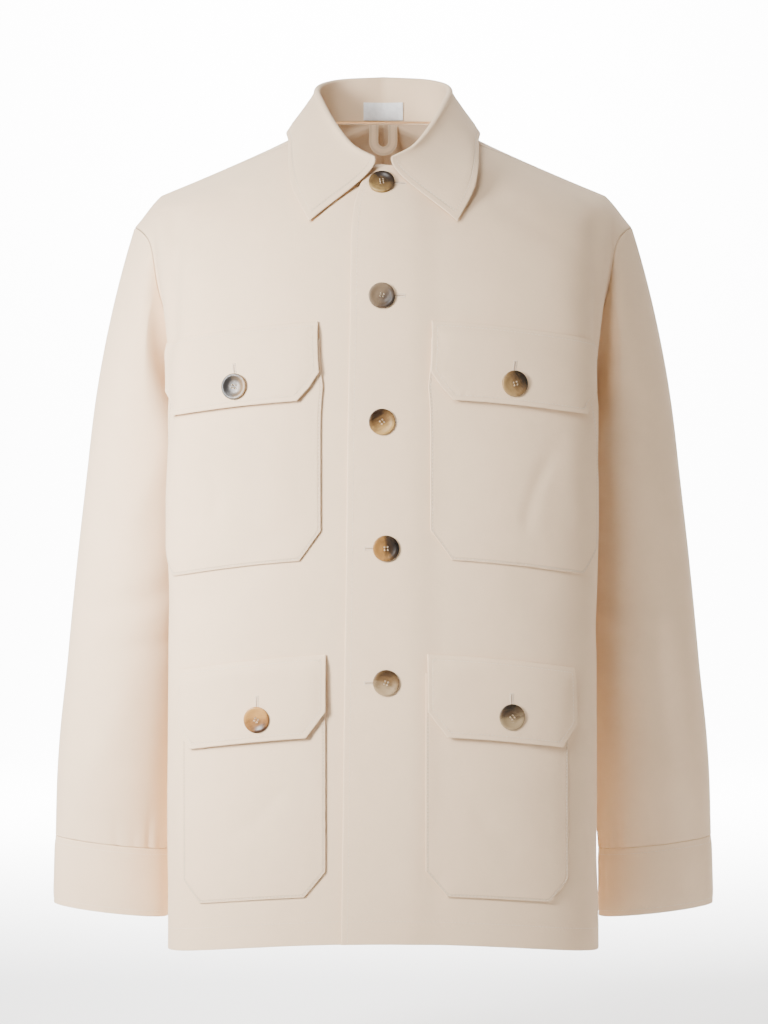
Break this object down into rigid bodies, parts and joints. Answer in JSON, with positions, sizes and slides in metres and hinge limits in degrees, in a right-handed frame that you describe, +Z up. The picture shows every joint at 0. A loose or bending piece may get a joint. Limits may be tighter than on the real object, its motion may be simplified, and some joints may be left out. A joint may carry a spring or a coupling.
{
  "type": "safari jacket",
  "caption": "Filled-out cotton safari jacket, buttoned up, with a turned-down collar, flapped patch pockets on chest and hips, and closed cuffs.",
  "frame": {"origin": "middle of the neck opening at shoulder height, where a stand or hanger holds the jacket", "axes": "+Z up through the neck, -Y towards the buttoned front, +X to the wearer's left"},
  "size_m": [0.6134, 0.295, 0.8041],
  "materials": {
    "back": "matte cotton gabardine",
    "front_left": "matte cotton gabardine",
    "front_right": "matte cotton gabardine",
    "sleeve_left": "matte cotton gabardine",
    "sleeve_right": "matte cotton gabardine",
    "cuff_left": "matte cotton gabardine",
    "cuff_right": "matte cotton gabardine",
    "collar": "matte cotton gabardine",
    "neck_label": "smooth woven tape",
    "hanger_loop": "matte cotton gabardine",
    "pocket_upper_left": "matte cotton gabardine",
    "pocket_upper_right": "matte cotton gabardine",
    "pocket_lower_left": "matte cotton gabardine",
    "pocket_lower_right": "matte cotton gabardine",
    "flap_upper_left": "matte cotton gabardine",
    "flap_upper_right": "matte cotton gabardine",
    "flap_lower_left": "matte cotton gabardine",
    "flap_lower_right": "matte cotton gabardine",
    "button_front_1": "polished mottled horn",
    "button_front_2": "polished mottled horn",
    "button_front_3": "polished mottled horn",
    "button_front_4": "polished mottled horn",
    "button_front_5": "polished mottled horn",
    "button_flap_upper_left": "polished mottled horn",
    "button_flap_upper_right": "polished mottled horn",
    "button_flap_lower_left": "polished mottled horn",
    "button_flap_lower_right": "polished mottled horn"
  },
  "bodies": {
    "root": {"back": "back", "front_left": "front_left", "front_right": "front_right", "sleeve_left": "sleeve_left", "sleeve_right": "sleeve_right", "cuff_left": "cuff_left", "cuff_right": "cuff_right", "collar": "collar", "neck_label": "neck_label", "hanger_loop": "hanger_loop", "pocket_upper_left": "pocket_upper_left", "pocket_upper_right": "pocket_upper_right", "pocket_lower_left": "pocket_lower_left", "pocket_lower_right": "pocket_lower_right", "flap_upper_left": "flap_upper_left", "flap_upper_right": "flap_upper_right", "flap_lower_left": "flap_lower_left", "flap_lower_right": "flap_lower_right", "button_front_1": "button_front_1", "button_front_2": "button_front_2", "button_front_3": "button_front_3", "button_front_4": "button_front_4", "button_front_5": "button_front_5", "button_flap_upper_left": "button_flap_upper_left", "button_flap_upper_right": "button_flap_upper_right", "button_flap_lower_left": "button_flap_lower_left", "button_flap_lower_right": "button_flap_lower_right"}
  },
  "joints": []
}
